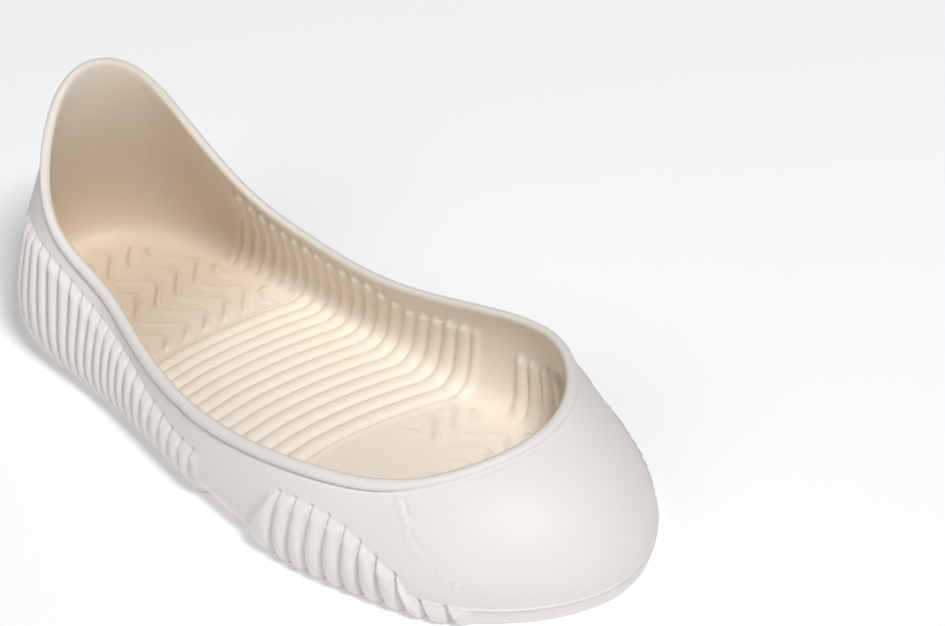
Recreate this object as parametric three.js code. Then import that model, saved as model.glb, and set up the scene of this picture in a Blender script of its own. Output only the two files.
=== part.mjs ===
// Slip-on rubber overshoe for a right foot, moulded in one piece.
// Millimetres. +X towards the toe, +Y towards the inner side of the foot, +Z up, floor at z = 0.
import * as THREE from 'three';

// ---- Driving dimensions -------------------------------------------------------------------

const WALL = 2.2; // thickness of the side walls, heel and toe cap
const SOLE = 4; // thickness of the sole, ribs included
const FILLET = 7; // height of the rounded corner between floor and wall, inside
const RIB = { crest: 1.2, groove: 0.7, slope: 4 }; // height out, depth in, height of the sloped top end
const BEAD_PROFILE = [ // section of the rolled rim: out of the wall, and up from the wall's top edge
  { out: 0, up: -4.8 },
  { out: 1.1, up: -4.2 },
  { out: 1.4, up: -2.4 },
  { out: 0.7, up: -0.5 },
  { out: -0.6, up: 0 },
  { out: -1.7, up: -0.4 },
  { out: -WALL, up: -1.6 },
];

// One row for each section round the shoe, anticlockwise from above, starting at the heel. The wall of
// a section is one cubic curve: it leaves the sole edge by lowOut and lowUp, and reaches the rim from
// a handle highOut further out and highDown lower. ribTop is the height where the outer ribs end.
const COLUMN_NAMES = ['soleX', 'soleY', 'rimX', 'rimY', 'rimZ', 'lowOut', 'lowUp', 'highOut', 'highDown', 'ribTop'];
const SECTIONS = [
  /* heel             */ [-130, 5, -113, 7, 92, 14, 16, 8, 45, 50],
  /* heel outer       */ [-122, -15, -108, -13, 81, 14, 14, 9, 38, 49],
  /* heel side outer  */ [-100, -29, -95, -26, 55, 13, 13, 8, 26, 43],
  /* rear outer       */ [-76, -33, -70, -28, 41, 12, 11, 6, 16, 32],
  /* waist rear outer */ [-46, -37, -43, -36, 34, 10, 10, 4, 12, 26],
  /* waist outer      */ [-10, -44, -5, -45, 32, 10, 10, 4, 12, 19],
  /* ball outer       */ [35, -51, 37, -45, 36, 10, 12, 5, 12, 25],
  /* fore outer       */ [72, -47, 70, -35, 39, 10, 14, 10, 12, 22],
  /* cap outer        */ [108, -33, 89, -17, 43, 10, 16, 22, 9, 9],
  /* toe              */ [133, 6, 96, 8, 45, 8, 20, 26, 8, 8],
  /* cap inner        */ [113, 43, 88, 32, 45, 7, 14, 16, 10, 9],
  /* fore inner       */ [75, 51, 65, 51, 43, 6, 12, 6, 12, 22],
  /* ball inner       */ [35, 47, 34, 51, 39, 6, 12, 4, 12, 25],
  /* waist inner      */ [-10, 44, -6, 45, 33, 8, 10, 4, 12, 20],
  /* waist rear inner */ [-46, 44, -43, 43, 34, 10, 10, 4, 12, 26],
  /* rear inner       */ [-76, 42, -70, 40, 42, 12, 11, 6, 16, 33],
  /* heel side inner  */ [-100, 37, -93, 36, 61, 13, 13, 8, 26, 44],
  /* heel inner       */ [-122, 24, -107, 26, 84, 14, 14, 9, 38, 49],
];

// Runs of outer ribs: where the first groove is, measured along the sole edge from the heel, how far
// apart the grooves are, and how many there are. The stretches between the runs are plain.
const RIB_RUNS = [
  { first: 31, pitch: 5.45, count: 22 },
  { first: 188.5, pitch: 7.1, count: 8 },
  { first: 377, pitch: 7.1, count: 8 },
  { first: 470, pitch: 5.45, count: 22 },
];
const PLAIN_STEP = 7.5; // spacing of the sections in the plain stretches

const ROWS = { low: 4, high: 4, inner: 5, fillet: 3 }; // faces up each part of the wall
const TREAD_INSET = 12; // how far inside the sole edge the middle face of the underside starts
const TREAD_SIDES = 24; // sides of that face

// ---- Curves -------------------------------------------------------------------------------

// Solves the slopes of a closed smooth curve through the values: slope[i-1] + 4 slope[i] + slope[i+1]
// is three times the difference of the neighbours. Repeating the rule settles on the solution.
function closedSlopes(values) {
  const count = values.length;
  const slopes = values.map(() => 0);
  for (let pass = 0; pass < 40; pass += 1) {
    for (let i = 0; i < count; i += 1) {
      const before = (i + count - 1) % count;
      const after = (i + 1) % count;
      slopes[i] = (3 * (values[after] - values[before]) - slopes[before] - slopes[after]) / 4;
    }
  }
  return slopes;
}

const TRACKS = COLUMN_NAMES.map((name, index) => {
  const values = SECTIONS.map((row) => row[index]);
  return { name, values, slopes: closedSlopes(values) };
});

// The section at any place round the shoe: place 0 is the heel, 1 the next row of the table, and so on.
function sectionAt(place) {
  const count = SECTIONS.length;
  const whole = Math.floor(place);
  const u = place - whole;
  const here = ((whole % count) + count) % count;
  const next = (here + 1) % count;
  const blend = u * u * (3 - 2 * u);
  const section = {};
  for (const { name, values, slopes } of TRACKS) {
    const flat = values[here] * (1 - blend) + values[next] * blend;
    section[name] = flat + slopes[here] * u * (1 - u) ** 2 - slopes[next] * u * u * (1 - u);
  }
  return section;
}

// The four control points of a section's wall curve, with the level direction out of the sole edge.
function controlPoints(place) {
  const nudge = 0.001;
  const section = sectionAt(place);
  const ahead = sectionAt(place + nudge);
  const out = new THREE.Vector3(ahead.soleY - section.soleY, section.soleX - ahead.soleX, 0).normalize();
  const sole = new THREE.Vector3(section.soleX, section.soleY, 0);
  const rim = new THREE.Vector3(section.rimX, section.rimY, section.rimZ);
  const low = sole.clone().addScaledVector(out, section.lowOut);
  low.z += section.lowUp;
  const high = rim.clone().addScaledVector(out, section.highOut);
  high.z -= section.highDown;
  return { points: [sole, low, high, rim], out, ribTop: section.ribTop };
}

function wallCurve(place) {
  return new THREE.CubicBezierCurve3(...controlPoints(place).points);
}

// The height on the curve where it reaches z, as the curve's own parameter, by halving the interval.
function parameterAtHeight(curve, z) {
  let below = 0;
  let above = 1;
  for (let step = 0; step < 24; step += 1) {
    const middle = (below + above) / 2;
    if (curve.getPoint(middle).z < z) {
      below = middle;
    } else {
      above = middle;
    }
  }
  return below;
}

// A point of the smooth outer surface, with the direction up the wall and the one out of it.
function surfaceFrame(place, t) {
  const nudge = 0.01;
  const curve = wallCurve(place);
  const point = curve.getPoint(t);
  const along = wallCurve(place + nudge).getPoint(t).sub(wallCurve(place - nudge).getPoint(t));
  const up = curve.getTangent(t);
  const normal = along.cross(up).normalize();
  return { point, up, normal };
}

// ---- Places of the sections ---------------------------------------------------------------

// Table of length along the sole edge against place, in fine steps.
function soleLengths() {
  const stepsPerSection = 60;
  const table = [{ place: 0, length: 0 }];
  let last = sectionAt(0);
  for (let i = 1; i <= SECTIONS.length * stepsPerSection; i += 1) {
    const place = i / stepsPerSection;
    const section = sectionAt(place);
    const step = Math.hypot(section.soleX - last.soleX, section.soleY - last.soleY);
    table.push({ place, length: table[i - 1].length + step });
    last = section;
  }
  return table;
}

const LENGTHS = soleLengths();
const PERIMETER = LENGTHS[LENGTHS.length - 1].length;

function placeAtLength(length) {
  const after = LENGTHS.findIndex((entry) => entry.length >= length);
  const high = LENGTHS[Math.max(after, 1)];
  const low = LENGTHS[Math.max(after, 1) - 1];
  return low.place + ((high.place - low.place) * (length - low.length)) / (high.length - low.length);
}

// Where the columns of the mesh stand and what relief each carries: +1 on a rib's crest, -1 in a
// groove, 0 on the plain wall. A run starts and ends with a groove.
function columnPlan() {
  const plan = [];
  let length = 0;
  for (const run of RIB_RUNS) {
    const gap = run.first - run.pitch - length;
    const steps = Math.max(1, Math.round(gap / PLAIN_STEP));
    for (let i = 0; i < steps; i += 1) {
      plan.push({ length: length + (gap * i) / steps, relief: 0 });
    }
    plan.push({ length: run.first - run.pitch, relief: 0 });
    for (let rib = 0; rib < run.count; rib += 1) {
      const groove = run.first + rib * run.pitch;
      plan.push({ length: groove - run.pitch / 2, relief: 1 });
      plan.push({ length: groove, relief: -1 });
    }
    length = run.first + (run.count - 0.5) * run.pitch;
    plan.push({ length, relief: 1 });
    length += run.pitch / 2;
  }
  const rest = PERIMETER - length;
  const steps = Math.round(rest / PLAIN_STEP);
  for (let i = 0; i < steps; i += 1) {
    plan.push({ length: length + (rest * i) / steps, relief: 0 });
  }
  return plan;
}

// ---- One column of the mesh ---------------------------------------------------------------

function reliefHeight(relief) {
  return relief > 0 ? relief * RIB.crest : relief * RIB.groove;
}

function outerPoints(place, relief) {
  const curve = wallCurve(place);
  const { ribTop } = controlPoints(place);
  const ribEnd = parameterAtHeight(curve, ribTop - RIB.slope);
  const ribTip = parameterAtHeight(curve, ribTop);
  const beadStart = 1 + BEAD_PROFILE[0].up / curve.getLength();
  const points = [];
  const add = (t, height) => {
    const { point, normal } = surfaceFrame(place, t);
    point.addScaledVector(normal, height);
    point.z = t === 0 ? 0 : Math.max(point.z, 0);
    points.push(point);
  };
  for (let i = 0; i <= ROWS.low; i += 1) {
    add((ribEnd * i) / ROWS.low, reliefHeight(relief));
  }
  for (let i = 0; i < ROWS.high; i += 1) {
    add(ribTip + ((beadStart - ribTip) * i) / ROWS.high, 0);
  }
  return points;
}

function beadPoints(place) {
  const { point, up, normal } = surfaceFrame(place, 1);
  return BEAD_PROFILE.map((corner) => {
    const bead = point.clone().addScaledVector(normal, corner.out);
    return bead.addScaledVector(up, corner.up);
  });
}

function innerPoints(place) {
  const curve = wallCurve(place);
  const { out } = controlPoints(place);
  const lip = 1 + BEAD_PROFILE[BEAD_PROFILE.length - 1].up / curve.getLength();
  const foot = parameterAtHeight(curve, SOLE + FILLET);
  const points = [];
  for (let i = 1; i <= ROWS.inner; i += 1) {
    const { point, normal } = surfaceFrame(place, lip + ((foot - lip) * i) / ROWS.inner);
    points.push(point.addScaledVector(normal, -WALL));
  }
  const start = points[points.length - 1];
  const slope = surfaceFrame(place, foot).up;
  const corner = start.clone().addScaledVector(slope, (SOLE - start.z) / slope.z);
  const end = corner.clone().addScaledVector(out, -FILLET);
  const fillet = new THREE.QuadraticBezierCurve3(start, corner, end);
  return points.concat(fillet.getPoints(ROWS.fillet).slice(1));
}

function meshColumn({ length, relief }) {
  const place = placeAtLength(length);
  return [...outerPoints(place, relief), ...beadPoints(place), ...innerPoints(place)];
}

// ---- The solid ----------------------------------------------------------------------------

// Triangles that fill a level outline, with optional holes, turned to face up.
function fillLevel(outline, holes = []) {
  const flat = [outline, ...holes].map((ring) => ring.map((p) => new THREE.Vector2(p.x, p.y)));
  const all = flat.flat();
  const faces = THREE.ShapeUtils.triangulateShape(flat[0], flat.slice(1));
  return faces.map(([a, b, c]) => {
    const turn = (all[b].x - all[a].x) * (all[c].y - all[a].y) - (all[b].y - all[a].y) * (all[c].x - all[a].x);
    return turn > 0 ? [a, b, c] : [a, c, b];
  });
}

// The outline of the flat middle face of the underside.
function treadOutline() {
  const ring = [];
  for (let i = 0; i < TREAD_SIDES; i += 1) {
    const { points, out } = controlPoints(placeAtLength((PERIMETER * i) / TREAD_SIDES));
    ring.push(points[0].clone().addScaledVector(out, -TREAD_INSET));
  }
  return ring;
}

function overshoeGeometry() {
  const columns = columnPlan().map(meshColumn);
  const rows = columns[0].length;
  const points = columns.flat();
  const faces = [];
  columns.forEach((column, i) => {
    const here = i * rows;
    const next = ((i + 1) % columns.length) * rows;
    for (let j = 0; j < rows - 1; j += 1) {
      faces.push([here + j, next + j, next + j + 1]);
      faces.push([here + j, next + j + 1, here + j + 1]);
    }
  });

  const edge = columns.map((column, i) => i * rows);
  const floorRing = columns.map((column, i) => i * rows + rows - 1);
  for (const face of fillLevel(floorRing.map((index) => points[index]))) {
    faces.push(face.map((corner) => floorRing[corner]));
  }

  const tread = treadOutline();
  const treadRing = tread.map((point, i) => points.length + i);
  const underside = [...edge, ...treadRing];
  for (const [a, b, c] of fillLevel(edge.map((index) => points[index]), [tread])) {
    faces.push([underside[a], underside[c], underside[b]]);
  }
  for (const [a, b, c] of fillLevel(tread)) {
    faces.push([treadRing[a], treadRing[c], treadRing[b]]);
  }

  const geometry = new THREE.BufferGeometry();
  const positions = [...points, ...tread].flatMap((point) => point.toArray());
  geometry.setAttribute('position', new THREE.Float32BufferAttribute(positions, 3));
  geometry.setIndex(faces.flat());
  geometry.computeVertexNormals();
  return geometry;
}

function overshoe() {
  const rubber = new THREE.MeshStandardMaterial({ color: 0xefeae4, roughness: 0.55, metalness: 0 });
  const mesh = new THREE.Mesh(overshoeGeometry(), rubber);
  mesh.name = 'overshoe';
  return mesh;
}

const part = new THREE.Group();
part.add(overshoe());

export default part;
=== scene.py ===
# %% [markdown]
# # A slip-on rubber overshoe
#
# The object is one moulding of soft off-white rubber, pulled over a shoe. It has a rolled rim, ribbed
# sides, a smooth toe cap and a patterned insole. One closed mesh stands for it here, because nothing on
# the real one is a separate piece. The fixed frame gives its place and its box.

import math

import bpy
import numpy as np
from mathutils import Matrix


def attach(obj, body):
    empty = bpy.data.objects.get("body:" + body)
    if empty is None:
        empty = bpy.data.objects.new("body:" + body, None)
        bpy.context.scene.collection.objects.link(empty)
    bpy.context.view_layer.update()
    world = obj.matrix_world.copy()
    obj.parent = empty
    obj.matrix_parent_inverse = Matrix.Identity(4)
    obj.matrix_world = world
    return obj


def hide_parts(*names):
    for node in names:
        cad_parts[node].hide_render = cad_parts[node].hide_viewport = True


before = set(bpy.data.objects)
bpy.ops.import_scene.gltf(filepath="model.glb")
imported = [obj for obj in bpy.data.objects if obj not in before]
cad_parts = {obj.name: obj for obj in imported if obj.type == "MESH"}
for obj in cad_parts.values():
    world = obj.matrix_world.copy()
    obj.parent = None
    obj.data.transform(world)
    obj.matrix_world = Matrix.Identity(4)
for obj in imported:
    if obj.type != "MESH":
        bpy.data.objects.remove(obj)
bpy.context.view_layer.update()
MM = 0.001
NODE = "overshoe"
BODY = "root"

# %% [markdown]
# ## The camera
#
# A product picture is taken from far away with a long lens, so that the shape is hardly distorted. The
# camera is placed by two angles, a small roll and the point it aims at. Setting it first means that
# every later step can be judged from the same view.

# %% Camera
AZIMUTH = math.radians(46)
ELEVATION = math.radians(38)
ROLL = math.radians(-2.5)
DISTANCE = 1.5
AIM_RIGHT = 0.0535
AIM_UP = 0.0382
LENS = 170.3

right = np.array([math.cos(AZIMUTH), math.sin(AZIMUTH), 0])
back = np.array(
    [
        math.sin(AZIMUTH) * math.cos(ELEVATION),
        -math.cos(AZIMUTH) * math.cos(ELEVATION),
        math.sin(ELEVATION),
    ]
)
up = np.cross(back, right)
camera_x = math.cos(ROLL) * right + math.sin(ROLL) * up
camera_y = math.cos(ROLL) * up - math.sin(ROLL) * right
place = DISTANCE * back + AIM_RIGHT * camera_x + AIM_UP * camera_y
camera_data = bpy.data.cameras.new("camera")
camera_data.lens = LENS
camera_data.clip_end = 20
camera = bpy.data.objects.new("camera", camera_data)
bpy.context.scene.collection.objects.link(camera)
turn = np.eye(4)
turn[:3, :4] = np.column_stack([camera_x, camera_y, back, place])
camera.matrix_world = Matrix(turn.tolist())
bpy.context.scene.camera = camera
print("camera at", place.round(3))

# %% [markdown]
# ## The sections of the shoe
#
# The outside is described by sections round the shoe, as a shoemaker's last is. Each section is one
# cubic curve that leaves the edge of the sole and ends on the rim. A few rows are enough, because a
# smooth closed curve through every column of the table fills in the shape between them.

# %% Section table
# Millimetres, anticlockwise from above, starting at the heel. The curve leaves the sole edge by lowOut
# and lowUp, and reaches the rim from highOut further out and highDown lower. ribTop is where the outer
# ribs end, and round the toe it is the height of the mould's parting line.
PLACES = ["soleX", "soleY", "rimX", "rimY", "rimZ"]
HANDLES = ["lowOut", "lowUp", "highOut", "highDown"]
COLUMNS = PLACES + HANDLES + ["ribTop"]
SECTIONS = np.array(
    [
        [-130, 5, -113, 7, 92, 14, 16, 8, 45, 50],  # heel
        [-122, -15, -108, -13, 81, 14, 14, 9, 38, 49],  # heel outer
        [-100, -29, -95, -26, 55, 13, 13, 8, 26, 43],  # heel side outer
        [-76, -33, -70, -28, 41, 12, 11, 6, 16, 32],  # rear outer
        [-46, -37, -43, -36, 34, 10, 10, 4, 12, 26],  # waist rear outer
        [-10, -44, -5, -45, 32, 10, 10, 4, 12, 19],  # waist outer
        [35, -51, 37, -45, 36, 10, 12, 5, 12, 25],  # ball outer
        [72, -47, 70, -35, 39, 10, 14, 10, 12, 22],  # fore outer
        [108, -33, 89, -17, 43, 10, 16, 22, 9, 9],  # cap outer
        [133, 6, 96, 8, 45, 8, 20, 26, 8, 8],  # toe
        [113, 43, 88, 32, 45, 7, 14, 16, 10, 9],  # cap inner
        [75, 51, 65, 51, 43, 6, 12, 6, 12, 22],  # fore inner
        [35, 47, 34, 51, 39, 6, 12, 4, 12, 25],  # ball inner
        [-10, 44, -6, 45, 33, 8, 10, 4, 12, 20],  # waist inner
        [-46, 44, -43, 43, 34, 10, 10, 4, 12, 26],  # waist rear inner
        [-76, 42, -70, 40, 42, 12, 11, 6, 16, 33],  # rear inner
        [-100, 37, -93, 36, 61, 13, 13, 8, 26, 44],  # heel side inner
        [-122, 24, -107, 26, 84, 14, 14, 9, 38, 49],  # heel inner
    ],
    float,
)
COUNT = len(SECTIONS)


def value_of(row, name):
    """One named column of the table's rows."""
    return row[..., COLUMNS.index(name)]


def closed_slopes(values):
    """Slopes of a closed smooth curve.

    Slope before + 4 slope + slope after = 3 (value after - value before).
    """
    size = len(values)
    links = 4 * np.eye(size) + np.roll(np.eye(size), 1, 1) + np.roll(np.eye(size), -1, 1)
    return np.linalg.solve(links, 3 * (np.roll(values, -1, 0) - np.roll(values, 1, 0)))


SLOPES = closed_slopes(SECTIONS)


def section_at(station):
    """Rows blended at any station: values by 3u^2 - 2u^3, plus the slopes' share u(1-u)^2 and -u^2(1-u)."""
    whole = np.floor(station)
    u = (station - whole)[..., None]
    here = whole.astype(int) % COUNT
    after = (here + 1) % COUNT
    blend = u * u * (3 - 2 * u)
    flat = SECTIONS[here] * (1 - blend) + SECTIONS[after] * blend
    return flat + SLOPES[here] * u * (1 - u) ** 2 - SLOPES[after] * u * u * (1 - u)


fine_stations = np.linspace(0, COUNT, COUNT * 80 + 1)
fine_edge = section_at(fine_stations)[:, :2]
fine_lengths = np.concatenate([[0], np.cumsum(np.hypot(*np.diff(fine_edge, axis=0).T))])
PERIMETER = fine_lengths[-1]
HALF = PERIMETER / 2
print("sole edge is", round(PERIMETER, 1), "mm round")


def station_at(length):
    """The station at a length along the sole edge from the heel, read off the table of lengths."""
    return np.interp(length % PERIMETER, fine_lengths, fine_stations)


# %% Wall curve
def control_points(station):
    """Four points of the wall's cubic curve. Out is the level direction square to the sole edge."""
    nudge = 1e-3
    row = section_at(station)
    ahead = section_at(station + nudge)[..., :2] - section_at(station - nudge)[..., :2]
    out = np.stack([ahead[..., 1], -ahead[..., 0], np.zeros(ahead.shape[:-1])], -1)
    out /= np.linalg.norm(out, axis=-1, keepdims=True)
    zero = np.zeros(row.shape[:-1])
    sole = np.stack([value_of(row, "soleX"), value_of(row, "soleY"), zero], -1)
    rim = np.stack([value_of(row, "rimX"), value_of(row, "rimY"), value_of(row, "rimZ")], -1)
    rise = np.stack([zero, zero, value_of(row, "lowUp")], -1)
    drop = np.stack([zero, zero, value_of(row, "highDown")], -1)
    low = sole + out * value_of(row, "lowOut")[..., None] + rise
    high = rim + out * value_of(row, "highOut")[..., None] - drop
    return sole, low, high, rim, out


def along_curve(points, t):
    """Cubic curve: (1-t)^3 P0 + 3t(1-t)^2 P1 + 3t^2(1-t) P2 + t^3 P3."""
    sole, low, high, rim = points[:4]
    t = t[..., None]
    return sole * (1 - t) ** 3 + 3 * low * t * (1 - t) ** 2 + 3 * high * t * t * (1 - t) + rim * t**3


def surface(station, t):
    """Point of the smooth wall, the direction up the wall and the one out of it (along x up)."""
    step = 1e-3
    point = along_curve(control_points(station), t)
    rise = along_curve(control_points(station), t + step) - along_curve(control_points(station), t - step)
    along = along_curve(control_points(station + step), t) - along_curve(control_points(station - step), t)
    rise /= np.linalg.norm(rise, axis=-1, keepdims=True)
    normal = np.cross(along, rise)
    normal /= np.linalg.norm(normal, axis=-1, keepdims=True)
    return point, rise, normal


def t_at_height(station, height):
    """The curve parameter where the wall reaches a height, by halving the interval 30 times."""
    points = control_points(station)
    below = np.zeros(station.shape)
    above = np.ones(station.shape)
    for _ in range(30):
        middle = (below + above) / 2
        lower = along_curve(points, middle)[..., 2] < height
        below = np.where(lower, middle, below)
        above = np.where(lower, above, middle)
    return below


def smooth_step(low, high, value):
    """0 below low, 1 above high, and 3u^2 - 2u^3 between them."""
    u = np.clip((value - low) / (high - low), 0, 1)
    return u * u * (3 - 2 * u)


# %% [markdown]
# ## Columns that follow the ribs
#
# A rib is crisp only where the mesh has lines that run along it. The outer ribs and the insole's ribs
# have different spacings, so there are two plans of columns, one for the outside and one for the
# inside. Both have the same number of columns, and the columns slide from one plan to the other inside
# the rolled rim. The plan covers the outer half of the shoe, from heel to toe, and is mirrored.

# %% Outside plan
REAR_RIBS = {"first": 32.0, "pitch": 4.55, "growth": 0.0512, "grooves": 21}
FORE_RIBS = {"first": 187.5, "pitch": 6.55, "growth": 0.09, "grooves": 10}
PER_RIB = np.array([0, 0.1, 0.18, 0.27, 0.5, 0.73, 0.82, 0.9])


def groove_length(run, number):
    """Where a groove is along the sole edge: first + pitch n + growth n^2."""
    return run["first"] + run["pitch"] * number + run["growth"] * number**2


def groove_number(run, length):
    """The inverse of groove_length, from the quadratic formula."""
    gap = length - run["first"]
    root = np.sqrt(np.maximum(run["pitch"] ** 2 + 4 * run["growth"] * gap, 0))
    return (-run["pitch"] + root) / (2 * run["growth"])


def run_columns(run):
    """Lengths of a run's columns, from half a rib before its first groove to half a rib after its last."""
    numbers = (np.arange(-1, run["grooves"])[:, None] + PER_RIB).ravel()
    return groove_length(run, numbers[(numbers >= -0.5) & (numbers < run["grooves"] - 0.5)])


def plain(start, end, columns):
    return np.linspace(start, end, columns, endpoint=False)


rear_columns = run_columns(REAR_RIBS)
fore_columns = run_columns(FORE_RIBS)
rear_end = groove_length(REAR_RIBS, REAR_RIBS["grooves"] - 0.5)
fore_end = groove_length(FORE_RIBS, FORE_RIBS["grooves"] - 0.5)
outside_half = np.concatenate(
    [
        plain(0, rear_columns[0], 20),
        rear_columns,
        plain(rear_end, fore_columns[0], 24),
        fore_columns,
        plain(fore_end, HALF, 38),
        [HALF],
    ]
)
H = len(outside_half) - 1
N = 2 * H
print(H, "columns on each side of the shoe")

# %% [markdown]
# ## The inside of the wall and the insole's ring
#
# The inside is the outside moved in by the wall thickness, and a rounded corner joins it to the floor.
# The ring is where that corner meets the level floor, and the insole's pattern starts from it.

# %% Inside ring
WALL = 2.2
SOLE = 4.0
FILLET = 7.0


def fillet_points(station):
    """Start on the wall, the corner where wall and floor would meet, and the end on the level floor."""
    foot = t_at_height(station, np.full(station.shape, SOLE + FILLET))
    point, rise, normal = surface(station, foot)
    start = point - WALL * normal
    corner = start + rise * ((SOLE - start[..., 2]) / rise[..., 2])[..., None]
    out = control_points(station)[4]
    return start, corner, corner - FILLET * out


fine_half = np.linspace(0, HALF, 500)
ring_outer = fillet_points(station_at(fine_half))[2]
ring_inner = fillet_points(station_at(PERIMETER - fine_half))[2]
print("insole from x", ring_outer[0, 0].round(1), "to", ring_outer[-1, 0].round(1))

# %% [markdown]
# ## The arch ribs
#
# Fourteen grooves cross the insole under the arch. They are straight on the outer side, sweep forward
# towards the inner side, and then climb the wall. A groove's number is worked out from its place by a
# quadratic, so a column can be given a number and the mesh follows the groove exactly.

# %% Arch ribs
ARCH = {"first": -60.3, "pitch": 5.0, "growth": 0.055, "sweep": 9.8, "sweep_growth": 0.3}
ARCH_GROOVES = 14
WALL_ONLY = 7  # ribs that are only on the wall, behind the arch
SWEEP_START = -10.0
SWEEP_WIDTH = 50.0


def sweep_share(y):
    """How much of the sweep is reached at y: 0.35u + 0.65u^2, u rising from 0 to 1 across the arch."""
    u = np.clip((y - SWEEP_START) / SWEEP_WIDTH, 0, 1.02)
    return 0.35 * u + 0.65 * u * u


def arch_x(number, y):
    """x of an arch groove: first + pitch n + growth n^2 + (sweep + sweep_growth n) share(y)."""
    sweep = (ARCH["sweep"] + ARCH["sweep_growth"] * number) * sweep_share(y)
    return ARCH["first"] + ARCH["pitch"] * number + ARCH["growth"] * number**2 + sweep


def ring_lengths(numbers, ring):
    """Lengths from the heel where the grooves' lines cross a side's ring."""
    middle = slice(60, 440)
    y = np.interp(arch_x(numbers, 0 * numbers), ring[middle, 0], ring[middle, 1])
    return np.interp(arch_x(numbers, y), ring[middle, 0], fine_half[middle])


PER_ARCH_RIB = 7
HEEL_COLUMNS = 74
FORE_INNER = {"first": 195.0, "pitch": 6.0, "grooves": 4}
arch_numbers = np.arange((ARCH_GROOVES - 1 + WALL_ONLY) * PER_ARCH_RIB + 1) / PER_ARCH_RIB - WALL_ONLY
index = np.arange(H + 1)
arch_index = HEEL_COLUMNS + np.arange(len(arch_numbers))
fore_index = arch_index[-1] + 18 + np.array([0, 8 * FORE_INNER["grooves"]])
fore_stop = FORE_INNER["first"] + FORE_INNER["pitch"] * FORE_INNER["grooves"]


def inside_half(ring):
    """Lengths of one side's inside columns: even up to the ribs, on the arch's lines, then even pieces."""
    stops_index = np.concatenate([[0], arch_index, fore_index, [H]])
    stops = np.concatenate([[0], ring_lengths(arch_numbers, ring), [FORE_INNER["first"], fore_stop], [HALF]])
    return np.interp(index, stops_index, stops)


inside_outer = inside_half(ring_outer)
inside_inner = inside_half(ring_inner)
number_at = np.interp(index, arch_index, arch_numbers)
number_at = number_at + np.maximum(index - arch_index[-1], 0) / PER_ARCH_RIB
number_at = number_at - np.maximum(arch_index[0] - index, 0) / PER_ARCH_RIB

column = np.arange(N)
half_index = np.minimum(column, N - column)
on_inner = column > H
outside_length = np.where(on_inner, PERIMETER - outside_half[half_index], outside_half[half_index])
inside_length = np.where(on_inner, PERIMETER - inside_inner[half_index], inside_outer[half_index])
slide = np.abs(outside_length - inside_length).max()
print("columns slide by at most", round(slide, 1), "mm inside the rim")

# %% [markdown]
# ## Relief of the outside
#
# The side ribs are rounded pillars with narrow grooves. At the top each pillar ends in a sloping facet,
# and its groove runs to a point. Taking the lower of the rib's profile and a ramp gives the facet its
# scalloped edge. Low down the pillars lean forward, and they round under at the sole.

# %% Outside relief
CREST = 2.2
GROOVE = 1.65
GROOVE_WIDTH = 0.17
FACET = 3.4
UNDER = 3.2  # height over which the pillars round under at the sole
REAR_FADE = {"start": 22, "full": 36, "end": 147.5}  # lengths from the heel
FORE_END = 262
FLANK = {"length": 185.5, "slant": 9, "depth": 14, "before": 2.5, "after": 3}
LEAN_LENGTHS = [0, 28, 45, 65, 82, 100, 120, 140, 165, 185, 240, 307]
LEANS = [0, 12, 14.5, 13, 12, 8, 5, 4, 2, 2.5, 2.5, 0]


def from_heel(length):
    """Length along the sole edge from the heel by the shorter way."""
    return HALF - np.abs(length % PERIMETER - HALF)


def rib_wave(fraction):
    """A rounded rib: 1 - |2f - 1|^3.4, which is 0 in the grooves and nearly flat on the crest."""
    return 1 - np.abs(2 * fraction - 1) ** 3.4


def run_last(run):
    """Length of a run's last groove."""
    return groove_length(run, run["grooves"] - 1)


def run_relief(run, from_side, start, full, end, narrow):
    """Crest share and groove share of a run at a length, with the run's soft start and end.

    A groove is a channel exp(-(distance / width)^4), and its width shrinks to a point at its top.
    """
    number = groove_number(run, from_side)
    inside = (number > -0.5) & (number < run["grooves"] - 0.5)
    fraction = number - np.floor(number)
    near = np.minimum(fraction, 1 - fraction)
    width = GROOVE_WIDTH * np.maximum(narrow, 1e-3)
    grooves = np.where((number > -0.4) & inside, np.exp(-np.minimum(near / width, 9) ** 4), 0)
    envelope = smooth_step(start, full, from_side) * (1 - smooth_step(run_last(run) + 1, end, from_side))
    crest = np.where(inside, rib_wave(fraction), 1) * envelope
    return crest, grooves


def side_relief(tip_length, narrow, depth):
    """The two runs together: the rear one fades in over the heel, the fore one has a slanting first flank."""
    side = from_heel(tip_length)
    flank = FLANK["length"] - FLANK["slant"] * np.clip(depth / FLANK["depth"], 0, 1)
    rear_crest, rear_groove = run_relief(
        REAR_RIBS, side, REAR_FADE["start"], REAR_FADE["full"], REAR_FADE["end"], narrow
    )
    fore_crest, fore_groove = run_relief(
        FORE_RIBS, side, flank - FLANK["before"], flank + FLANK["after"], FORE_END, narrow
    )
    return np.maximum(rear_crest, fore_crest), np.maximum(rear_groove, fore_groove)


# %% Outside rows
BODY_ROWS = 16
FACET_ROWS = 13
BAND_ROWS = 22
BEAD_FOOT = 5.4
RIDGE = {"height": 0.7, "width": 0.45}
FOXING = 0.7
PART_LENGTHS = [238, 262, 307]
PART_HEIGHTS = [9, 7.5, 6]
TIP_LENGTH = 5.0  # a groove narrows to its point over this height
CAP_RIM = 45
FOLD = {"start": 220, "end": 276, "width": 1.4, "depth": 0.75}
SCALLOP = {"height": 2.0, "width": 2.4}


def rib_tops(length):
    """Height where the ribs end: the table's, and beyond the toe cap's corner the parting line's."""
    side = from_heel(length)
    part = np.interp(side, PART_LENGTHS, PART_HEIGHTS)
    share = smooth_step(238.5, 242.5, side)
    return value_of(section_at(station_at(length)), "ribTop") * (1 - share) + part * share


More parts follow.
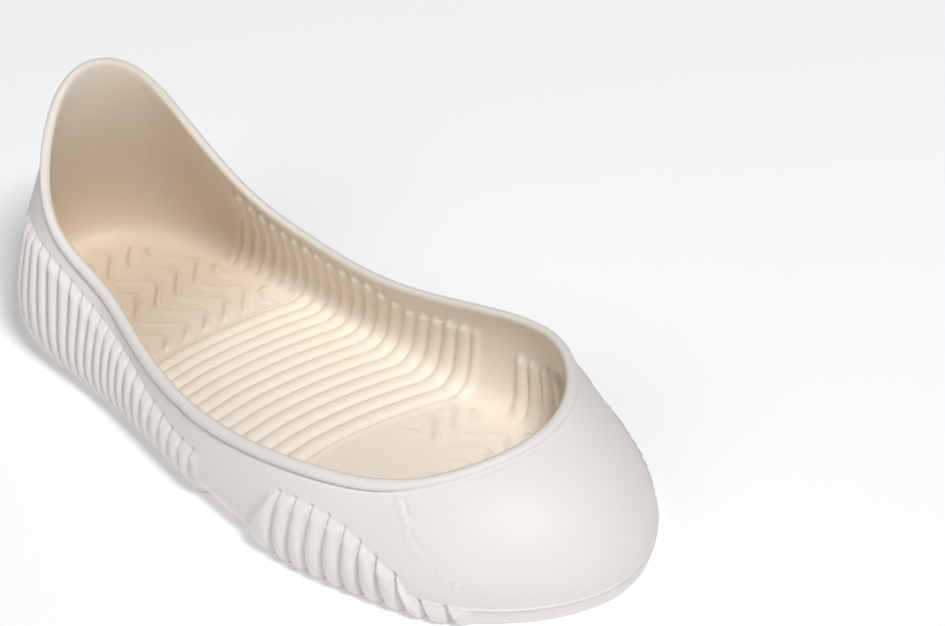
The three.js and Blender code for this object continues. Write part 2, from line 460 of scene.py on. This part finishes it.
def outside_grid():
    """Points of the outside, row by row: up the ribs at shares of their height, then up to the rim's foot."""
    top = rib_tops(outside_length)
    body = np.linspace(0, 1, BODY_ROWS, endpoint=False) ** 1.25
    facet = np.linspace(0, 1, FACET_ROWS, endpoint=False)
    shares = [body[:, None] * (top - FACET - 0.6), top - FACET - 0.6 + facet[:, None] * (FACET + 1.8)]
    height = np.concatenate(shares)
    lean = np.interp(from_heel(outside_length), LEAN_LENGTHS, LEANS)
    lean = np.where(on_inner, -lean, lean)
    length = outside_length + lean * np.clip(1 - height / top, 0, 1)
    station = station_at(length)
    t = t_at_height(station, height)
    edge = t_at_height(station_at(outside_length), top + 1.2)
    end = 1 - BEAD_FOOT / wall_length(station_at(outside_length))
    band = np.linspace(0, 1, BAND_ROWS)[:, None]
    band_t = edge + (end - edge) * band
    t = np.concatenate([t, band_t])
    station = np.concatenate([station, np.broadcast_to(station_at(outside_length), band_t.shape)])
    point, _, normal = surface(station, t)
    return point, normal, np.broadcast_to(top, t.shape), np.broadcast_to(outside_length, t.shape)


def wall_length(station):
    """Length of the wall's curve, as the sum of 40 short chords."""
    t = np.linspace(0, 1, 41)[:, None] + 0 * station
    path = along_curve(control_points(np.broadcast_to(station, t.shape)), t)
    return np.linalg.norm(np.diff(path, axis=0), axis=-1).sum(0)


def crease(length, height_share, start, end, width, depth):
    """A soft fold in the toe cap: its line runs from start at the rim to end at the parting line."""
    line = start + (end - start) * (1 - height_share) ** 1.35
    across = (from_heel(length) - line) / width
    return depth * np.exp(-(across**2)) - 0.8 * depth * np.exp(-((across - 1.9) ** 2))


def outside_points():
    """Outside grid moved out along its normal by the ribs, the parting line, the foxing and the creases."""
    point, normal, top, length = outside_grid()
    height = point[..., 2]
    narrow = np.clip((top + 0.9 - height) / TIP_LENGTH, 0, 1) ** 0.7
    crest_share, groove_share = side_relief(length, narrow, top - height)
    under = np.sqrt(np.clip(1 - (1 - np.clip(height / UNDER, 0, 1)) ** 2, 0, 1))
    ramp = np.clip((top - height) / FACET, 0, 1.2)
    ribs = CREST * np.minimum(crest_share * (0.1 + 0.9 * under), ramp)
    grooves = GROOVE * groove_share * (1 - smooth_step(top, top + 0.8, height))
    toe = smooth_step(238, 244, from_heel(length))
    parting = RIDGE["height"] * np.exp(-(((height - top) / RIDGE["width"]) ** 2)) * toe
    strip = FOXING * (1 - smooth_step(top - 0.9, top - 0.2, height)) * toe
    share = np.clip((height - top) / (CAP_RIM - top), 0, 1)
    folds = crease(length, share, FOLD["start"], FOLD["end"], FOLD["width"], FOLD["depth"])
    folds = folds * smooth_step(0.02, 0.2, share) * toe_zone(length)
    folds = folds * (1 - smooth_step(0.75, 1.0, share))
    move = ribs - grooves + parting + strip + folds
    point = point + normal * move[..., None]
    point[..., 2] = np.maximum(point[..., 2], 0)
    # the ribs' lower ends are scallops: the sole edge rises in every groove
    scallop = SCALLOP["height"] * np.exp(-((height / SCALLOP["width"]) ** 2)) * groove_share
    point[..., 2] = point[..., 2] + scallop
    return point, groove_share


def toe_zone(length):
    """1 on the toe cap and 0 behind it."""
    return smooth_step(222, 232, from_heel(length))


outside, outside_groove = outside_points()
print("outside grid", outside.shape)

# %% [markdown]
# ## The rolled rim
#
# The rim is a soft bead, carried along the top edge as a profile along a path. Its section starts with
# a fine undercut line on the outside, goes over the top and ends on the inside of the wall.

# %% Rim
BEAD = np.array(
    [  # out of the wall, up from its top edge
        [0.0, -4.9],
        [-0.4, -4.45],
        [0.4, -4.2],
        [0.95, -3.7],
        [1.3, -2.8],
        [1.25, -1.8],
        [0.85, -0.85],
        [0.15, -0.2],
        [-0.65, 0.0],
        [-1.45, -0.25],
        [-1.95, -0.9],
        [-2.2, -1.8],
    ]
)
NICK = {"length": 131.0, "width": 2.2, "depth": 0.9}


def bead_points():
    """Bead profile at the top of every column. Columns slide from the outside plan to the inside one."""
    share = smooth_step(0, 1, np.linspace(0, 1, len(BEAD)))[:, None]
    length = outside_length * (1 - share) + inside_length * share
    station = station_at(length)
    point, rise, normal = surface(station, np.ones(station.shape))
    nick = NICK["depth"] * np.exp(-(((length - NICK["length"]) / NICK["width"]) ** 2))
    out = BEAD[:, 0][:, None] - nick * np.exp(-(((BEAD[:, 1] + 3.4) / 0.9) ** 2))[:, None]
    return point + normal * out[..., None] + rise * BEAD[:, 1][:, None, None]


bead = bead_points()
print("bead grid", bead.shape)

# %% [markdown]
# ## The insole's pattern
#
# Behind and in front of the arch ribs the insole carries low sinuous ridges, a family of parallel sine
# waves. A few small nubs stand near the arch. The pattern is a height worked out at every point of the
# floor, so it is real geometry.

# %% Inside relief
RIB_IN = 1.5
RIB_WALL = 1.9
RIB_OUT = 0.4
WAVE = {"period": 24.5, "height": 4.4, "spacing": 9.3, "ridge": 1.5, "width": 1.05}
ARCH_TOP = {"gap": 3.2, "more": 5.5}  # how far under the rim the wall ribs end, and how much more ahead
SHORT_TOP = 25.5
ROUND_END = 1.8
NUBS = np.array(
    [  # x, y, radius, height
        [-63, 36, 1.7, 0.8],
        [-58, 37.5, 0.9, 0.5],
        [-61, 29.5, 1.0, 0.5],
        [-63, 21.5, 0.9, 0.4],
        [-89, 37, 2.2, 0.6],
        [31, 32, 2.0, 0.6],
    ]
)


def arch_wave(number):
    """Rounded ribs: 1 - |2f - 1|^2.3 of the groove number's fraction."""
    fraction = number - np.floor(number)
    return 1 - np.abs(2 * fraction - 1) ** 2.3


def wave_ridges(x, y, crest_x, centre, lift):
    """Ridges along y = centre + height cos(2 pi (x - crest) / period), repeated at the family's spacing."""
    turn_angle = 2 * math.pi * (x - crest_x) / WAVE["period"]
    line = centre + WAVE["height"] * np.cos(turn_angle)
    slope = WAVE["height"] * 2 * math.pi / WAVE["period"] * np.sin(turn_angle)
    gap = (y - line + WAVE["spacing"] / 2) % WAVE["spacing"] - WAVE["spacing"] / 2
    across = gap / np.sqrt(1 + slope * slope)
    ridge = np.exp(-((across / WAVE["width"]) ** 2))
    strength = 0.55 + 0.45 * np.sin(turn_angle)
    return lift * ridge * strength


def floor_pattern(x, y):
    """Height of the waves and nubs above the floor, away from the arch ribs."""
    behind = 1 - smooth_step(arch_x(-0.9, y), arch_x(-0.35, y), x)
    heel = wave_ridges(x, y, -93.5, 28.5, WAVE["ridge"]) * behind * smooth_step(-124, -119, x)
    bare = smooth_step(15, 17.5, y - 0.25 * np.clip(x - 30, 0, 20)) + smooth_step(47, 50, x)
    ahead = smooth_step(26, 29, x) * np.clip(bare, 0, 1)
    fore = wave_ridges(x, y, 30.7, 22.5, WAVE["ridge"]) * ahead
    gap = np.hypot(x[..., None] - NUBS[:, 0], y[..., None] - NUBS[:, 1]) / NUBS[:, 2]
    nubs = (NUBS[:, 3] * np.clip(1 - gap**1.5, 0, 1)).sum(-1)
    return heel + fore + nubs


# %% Inside rows
WALL_ROWS = 24
FILLET_ROWS = 8
FLOOR_ROWS = 44
inside_station = station_at(inside_length)
column_number = number_at[half_index]
SPINE_ENDS = [-98, 100]  # x of the floor line's two ends


def inside_wall():
    """Inside of the wall from the rim's lip down to the rounded corner, moved in where it has ribs."""
    lip = 1 + BEAD[-1, 1] / wall_length(inside_station)
    foot = t_at_height(inside_station, np.full(N, SOLE + FILLET))
    share = np.linspace(0, 1, WALL_ROWS + 1)[1:, None]
    t = lip + (foot - lip) * share
    point, _, normal = surface(np.broadcast_to(inside_station, t.shape), t)
    rim_height = value_of(section_at(inside_station), "rimZ")
    ribs = wall_ribs(point[..., 2], rim_height)
    return point - normal * (WALL + ribs)[..., None]


def wall_ribs(height, rim_height):
    """Arch ribs on the wall, and the four short ones beside the toes, with rounded upper ends."""
    start = smooth_step(-WALL_ONLY - 0.2, -WALL_ONLY + 1.2, column_number)
    end = 1 - smooth_step(ARCH_GROOVES - 0.8, ARCH_GROOVES - 0.4, column_number)
    drop = ARCH_TOP["gap"] + ARCH_TOP["more"] * smooth_step(5, 9, column_number)
    fraction = column_number - np.floor(column_number)
    cap = rim_height - drop - 3.0 * (2 * fraction - 1) ** 2
    ends = 1 - smooth_step(cap - ROUND_END, cap, height)
    arch = arch_wave(column_number) * start * end * ends
    side = from_heel(inside_length)
    number = (side - FORE_INNER["first"]) / FORE_INNER["pitch"]
    fraction = number - np.floor(number)
    cap = SHORT_TOP - 2.5 * (2 * fraction - 1) ** 2
    present = (number > 0) & (number < FORE_INNER["grooves"])
    fore = np.where(present, arch_wave(number), 0) * (1 - smooth_step(cap - ROUND_END, cap, height))
    return RIB_WALL * np.maximum(arch, fore)


def inside_fillet():
    """Rounded corner (1-u)^2 start + 2u(1-u) corner + u^2 end, moved in by the ribs, and its end."""
    start, corner, end = fillet_points(inside_station)
    u = np.linspace(0, 1, FILLET_ROWS + 1)[1:, None, None]
    point = start * (1 - u) ** 2 + 2 * corner * u * (1 - u) + end * u * u
    slope = 2 * (corner - start) * (1 - u) + 2 * (end - corner) * u
    slope /= np.linalg.norm(slope, axis=-1, keepdims=True)
    along = np.roll(end, -1, 0) - np.roll(end, 1, 0)
    along /= np.linalg.norm(along, axis=-1, keepdims=True)
    normal = np.cross(slope, np.broadcast_to(along, slope.shape))
    normal /= np.linalg.norm(normal, axis=-1, keepdims=True)
    normal = np.where(normal[..., 2:3] < 0, -normal, normal)
    rim_height = value_of(section_at(inside_station), "rimZ")
    wall = wall_ribs(point[..., 2], rim_height)
    after_arch = smooth_step(ARCH_GROOVES, ARCH_GROOVES + 0.5, column_number)
    onto_floor = smooth_step(-0.4, 0.1, column_number) * (1 - after_arch)
    keep = 1 - (1 - onto_floor) * smooth_step(0.35, 0.95, u[..., 0])
    return point + normal * (wall * keep)[..., None], end


def spine():
    """Middle line of the floor: x runs from heel to toe, on the arch's own lines where there are ribs."""
    first = arch_index[0] + WALL_ONLY * PER_ARCH_RIB
    last = arch_index[-1]
    ring = fillet_points(inside_station)[2]
    y = (ring[: H + 1, 1] + np.append(ring[0:1, 1], ring[::-1][:H, 1])) / 2
    inside = np.clip(index, first, last)
    on_arch = arch_x(number_at[inside], y[inside])
    x = np.where(index < first, np.interp(index, [0, first], [SPINE_ENDS[0], on_arch[first]]), on_arch)
    x = np.where(index > last, np.interp(index, [last, H], [on_arch[last], SPINE_ENDS[1]]), x)
    return x, y


def floor_grid(ring):
    """Floor lines from the ring to the spine: straight, plus the bend of the arch groove each belongs to."""
    spine_x, spine_y = spine()
    share = np.linspace(0, 1, FLOOR_ROWS + 1)[1:, None]
    end_x = spine_x[half_index]
    end_y = spine_y[half_index]
    y = ring[:, 1] + (end_y - ring[:, 1]) * share
    straight = ring[:, 0] + (end_x - ring[:, 0]) * share
    chord = arch_x(column_number, ring[:, 1]) * (1 - share) + arch_x(column_number, end_y) * share
    after_arch = smooth_step(ARCH_GROOVES - 1, ARCH_GROOVES + 3, column_number)
    weight = smooth_step(-3, 0, column_number) * (1 - after_arch)
    x = straight + (arch_x(column_number, y) - chord) * weight
    return x, y


def floor_height(x, y):
    """The level of the floor, plus the arch ribs on the columns' own numbers, plus the pattern."""
    after_arch = smooth_step(ARCH_GROOVES - 1, ARCH_GROOVES - 0.6, column_number)
    ribs = smooth_step(-0.35, 0.1, column_number) * (1 - after_arch)
    arch = (RIB_IN * arch_wave(column_number) - RIB_OUT * (1 - arch_wave(column_number)) ** 3) * ribs
    return SOLE + arch + floor_pattern(x, y)


wall_in = inside_wall()
corner_in, floor_ring = inside_fillet()
floor_x, floor_y = floor_grid(floor_ring)
floor_in = np.stack([floor_x, floor_y, floor_height(floor_x, floor_y)], -1)
print("inside rows", len(wall_in) + len(corner_in) + len(floor_in))

# %% [markdown]
# ## The underside
#
# The side grooves run on under the sole from edge to edge, so the sole grips a wet floor. Columns on
# the two sides of the shoe are paired, which keeps each groove in one line.

# %% Underside
SOLE_ROWS = 8
TREAD_DEPTH = 1.1
SOLE_LINE = [-104, 108]  # x of the underside's middle line at heel and toe


def underside():
    """Lines from the sole edge to a middle line, with the grooves' depth, and flat between them."""
    edge = outside[0]
    share = (np.linspace(0, 1, SOLE_ROWS + 1)[1:, None]) ** 1.3
    spine_x = np.interp(index, [0, H], SOLE_LINE)[half_index]
    pair = edge[(N - column) % N]
    spine_y = (edge[:, 1] + pair[:, 1]) / 2
    x = edge[:, 0] + (spine_x - edge[:, 0]) * share
    y = edge[:, 1] + (spine_y - edge[:, 1]) * share
    depth = TREAD_DEPTH * outside_groove[0] * np.maximum(1 - share, 0.55)
    return np.stack([x, y, depth + 0 * x], -1)


under = underside()
print("underside rows", len(under))

# %% [markdown]
# ## One closed mesh
#
# All rows are stacked into one grid that runs from the middle of the underside, up the outside, over
# the rim, down the inside and along the floor to its spine. The first and last rows are folded: a
# column and its partner on the other side share one point there, and that closes the skin.

# %% Assemble the mesh
rows = np.concatenate([under[::-1], outside, bead, wall_in, corner_in, floor_in])
R = len(rows)
number_grid = np.arange(R * N).reshape(R, N)
number_grid[0] = half_index
number_grid[-1] = number_grid[-1][half_index]
beside = np.roll(number_grid, -1, 1)
quads = np.stack([number_grid[:-1], beside[:-1], beside[1:], number_grid[1:]], -1).reshape(-1, 4)
used, compact = np.unique(quads, return_inverse=True)
quads = compact.reshape(-1, 4)
points = rows.reshape(-1, 3)[used] * MM
inside_rows = np.concatenate(
    [
        np.zeros(len(under) + len(outside)),
        smooth_step(0.45, 1, np.linspace(0, 1, len(BEAD))),
        np.ones(len(wall_in) + len(corner_in) + len(floor_in)),
    ]
)
inside_share = np.broadcast_to(inside_rows[:, None], (R, N)).reshape(-1)[used]


def make_mesh(name, vertices, faces):
    """A mesh object at the origin, with smooth faces, filled by foreach_set."""
    mesh = bpy.data.meshes.new(name)
    mesh.vertices.add(len(vertices))
    mesh.vertices.foreach_set("co", vertices.astype(np.float32).ravel())
    mesh.loops.add(faces.size)
    mesh.loops.foreach_set("vertex_index", faces.astype(np.int32).ravel())
    mesh.polygons.add(len(faces))
    mesh.polygons.foreach_set("loop_start", np.arange(0, faces.size, faces.shape[1], dtype=np.int32))
    mesh.update(calc_edges=True)
    mesh.validate()
    mesh.shade_smooth()
    made = bpy.data.objects.new(name, mesh)
    bpy.context.scene.collection.objects.link(made)
    return made


overshoe = make_mesh("overshoe_moulding", points, quads)
tint = overshoe.data.attributes.new("inside", "FLOAT", "POINT")
tint.data.foreach_set("value", inside_share.astype(np.float32))
print("overshoe has", 2 * len(quads), "triangles")

# %% [markdown]
# ## The rubber
#
# The outside is a cool off-white and the inside a warmer cream, with painted shade that darkens the lining
# low at the back of the heel cup. It is satin, with a fine moulded grain, faint cloudy patches and a few
# specks. The maths of the nodes is written as Python expressions, so that the recipe can be read.

# %% Shader expressions
class Expr:
    """A value in a material's node tree. The operators add Math nodes."""

    def __init__(self, tree, socket):
        self.tree = tree
        self.socket = socket

    def math(self, operation, first, second):
        node = self.tree.nodes.new("ShaderNodeMath")
        node.operation = operation
        for slot_socket, value in zip(node.inputs, (first, second)):
            if isinstance(value, Expr):
                self.tree.links.new(value.socket, slot_socket)
            else:
                slot_socket.default_value = value
        return Expr(self.tree, node.outputs[0])

    def __add__(self, other):
        return self.math("ADD", self, other)

    def __radd__(self, other):
        return self.math("ADD", other, self)

    def __sub__(self, other):
        return self.math("SUBTRACT", self, other)

    def __rsub__(self, other):
        return self.math("SUBTRACT", other, self)

    def __mul__(self, other):
        return self.math("MULTIPLY", self, other)

    def __rmul__(self, other):
        return self.math("MULTIPLY", other, self)

    def node(self, kind, settings=None, inputs=None, output=0):
        """Any other node: its type, its settings, and the values or links of its sockets."""
        made = self.tree.nodes.new(kind)
        for name, value in (settings or {}).items():
            setattr(made, name, value)
        for name, value in (inputs or {}).items():
            if isinstance(value, Expr):
                self.tree.links.new(value.socket, made.inputs[name])
            else:
                made.inputs[name].default_value = value
        return Expr(self.tree, made.outputs[output])


# %% Rubber material
OUTSIDE_COLOUR = (0.86, 0.83, 0.812, 1)
INSIDE_COLOUR = (0.92, 0.83, 0.715, 1)
HEEL_SHADE_COLOUR = (0.74, 0.63, 0.50, 1)  # painted shade: a deeper cream low at the back of the heel cup, where shade gathers
SPECK_COLOUR = (0.36, 0.29, 0.24, 1)


def rubber_material():
    """Satin rubber: two tints, painted shade low in the heel cup, cloudy patches, specks, and a fine grain as
    bump.
    """
    material = bpy.data.materials.new("moulded_rubber")
    material.use_nodes = True
    tree = material.node_tree
    tree.nodes.clear()
    base = Expr(tree, None)
    where = base.node("ShaderNodeTexCoord", output=3)
    inside = base.node("ShaderNodeAttribute", {"attribute_name": "inside"}, output=2)
    clouds = base.node("ShaderNodeTexNoise", inputs={"Vector": where, "Scale": 22.0, "Detail": 3.0})
    grain = base.node("ShaderNodeTexNoise", inputs={"Vector": where, "Scale": 1400.0, "Detail": 2.0})
    spots = base.node("ShaderNodeTexVoronoi", inputs={"Vector": where, "Scale": 95.0})
    forward = base.node("ShaderNodeSeparateXYZ", inputs={0: where}, output=0)
    up = base.node("ShaderNodeSeparateXYZ", inputs={0: where}, output=2)
    # painted shade: the lining is darkened towards the back and the bottom of the heel cup
    back = base.node("ShaderNodeMapRange", inputs={0: forward, 1: -0.085, 2: -0.05, 3: 1.0, 4: 0.0})
    low = base.node("ShaderNodeMapRange", inputs={0: up, 1: 0.012, 2: 0.05, 3: 1.0, 4: 0.15})
    heel = back * low
    lining_and_heel_shade = base.node(
        "ShaderNodeMix",
        {"data_type": "RGBA"},
        {0: heel, 6: INSIDE_COLOUR, 7: HEEL_SHADE_COLOUR},
        output=2,
    )
    tints = base.node(
        "ShaderNodeMix",
        {"data_type": "RGBA"},
        {0: inside, 6: OUTSIDE_COLOUR, 7: lining_and_heel_shade},
        output=2,
    )
    worn = base.node(
        "ShaderNodeMix",
        {"data_type": "RGBA", "blend_type": "MULTIPLY"},
        {0: (1 - clouds) * 0.16, 6: tints, 7: (0.86, 0.84, 0.82, 1)},
        output=2,
    )
    near = base.node("ShaderNodeMapRange", inputs={0: spots, 1: 0.035, 2: 0.06, 3: 1.0, 4: 0.0})
    rare = base.node("ShaderNodeMapRange", inputs={0: clouds, 1: 0.62, 2: 0.66, 3: 0.0, 4: 1.0})
    colour = base.node(
        "ShaderNodeMix",
        {"data_type": "RGBA"},
        {0: near * rare * 0.5, 6: worn, 7: SPECK_COLOUR},
        output=2,
    )
    bump = base.node(
        "ShaderNodeBump",
        inputs={"Strength": 0.12, "Distance": 0.0003, "Height": grain},
    )
    shader = base.node(
        "ShaderNodeBsdfPrincipled",
        inputs={
            "Base Color": colour,
            "Roughness": 0.40 + clouds * 0.16 + grain * 0.06,
            "Normal": bump,
            "IOR": 1.5,
            "Specular IOR Level": 0.42,
        },
    )
    out = tree.nodes.new("ShaderNodeOutputMaterial")
    tree.links.new(shader.socket, out.inputs["Surface"])
    return material


rubber = rubber_material()
overshoe.data.materials.append(rubber)
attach(overshoe, BODY)
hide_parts(NODE)
print("material", rubber.name, "with", len(rubber.node_tree.nodes), "nodes")

# %% [markdown]
# ## Floor and light
#
# A pale floor that glows a little and two large lamps suit a catalogue picture. The key stands high over
# the toe, so the grooves and the heel's cup are shaded, and a wide fill from the front lights the inside.
# The sky is bright overhead and dim at the horizon, so upright faces are greyer than level ones.

# %% Floor
FLOOR_SIZE = 6.0
FLOOR_GLOW = 0.18  # a little light of its own, like a lit sweep
corners = np.array([[-1, -1, 0], [1, -1, 0], [1, 1, 0], [-1, 1, 0]]) * FLOOR_SIZE
floor = make_mesh("studio_floor", corners - np.array([0, 0, 0.0002]), np.array([[0, 1, 2, 3]]))
floor_material = bpy.data.materials.new("pale_floor")
floor_material.use_nodes = True
floor_shader = floor_material.node_tree.nodes["Principled BSDF"]
floor_shader.inputs["Base Color"].default_value = (0.93, 0.93, 0.93, 1)
floor_shader.inputs["Roughness"].default_value = 0.9
floor_shader.inputs["Emission Color"].default_value = (1, 1, 1, 1)
floor_shader.inputs["Emission Strength"].default_value = FLOOR_GLOW
floor_shader.inputs["Specular IOR Level"].default_value = 0.1
floor.data.materials.append(floor_material)

# %% Lights
def soft_light(name, location, size, power, target=(0, 0, 0.03)):
    """A square area lamp that faces the target."""
    data = bpy.data.lights.new(name, "AREA")
    data.size = size
    data.energy = power
    lamp = bpy.data.objects.new(name, data)
    bpy.context.scene.collection.objects.link(lamp)
    away = np.array(location) - np.array(target)
    away = away / np.linalg.norm(away)
    side = np.cross([0, 0, 1], away)
    side = side / np.linalg.norm(side)
    over = np.cross(away, side)
    pose = np.eye(4)
    pose[:3, :4] = np.column_stack([side, over, away, location])
    lamp.matrix_world = Matrix(pose.tolist())
    return lamp


soft_light("key_over_toe", (1.4, -0.3, 2.7), 0.9, 70)
soft_light("fill_from_front", (-0.3, -2.4, 2.1), 2.0, 22)
world = bpy.data.worlds.new("studio")
world.use_nodes = True
sky = Expr(world.node_tree, None)
direction = sky.node("ShaderNodeTexCoord", output=0)
height = sky.node("ShaderNodeSeparateXYZ", inputs={0: direction}, output=2)
glow = sky.node("ShaderNodeMapRange", inputs={0: height, 1: -0.1, 2: 1.0, 3: 0.24, 4: 1.08})
background = world.node_tree.nodes["Background"]
world.node_tree.links.new(glow.socket, background.inputs["Strength"])
bpy.context.scene.world = world
bpy.context.scene.view_settings.view_transform = "Standard"
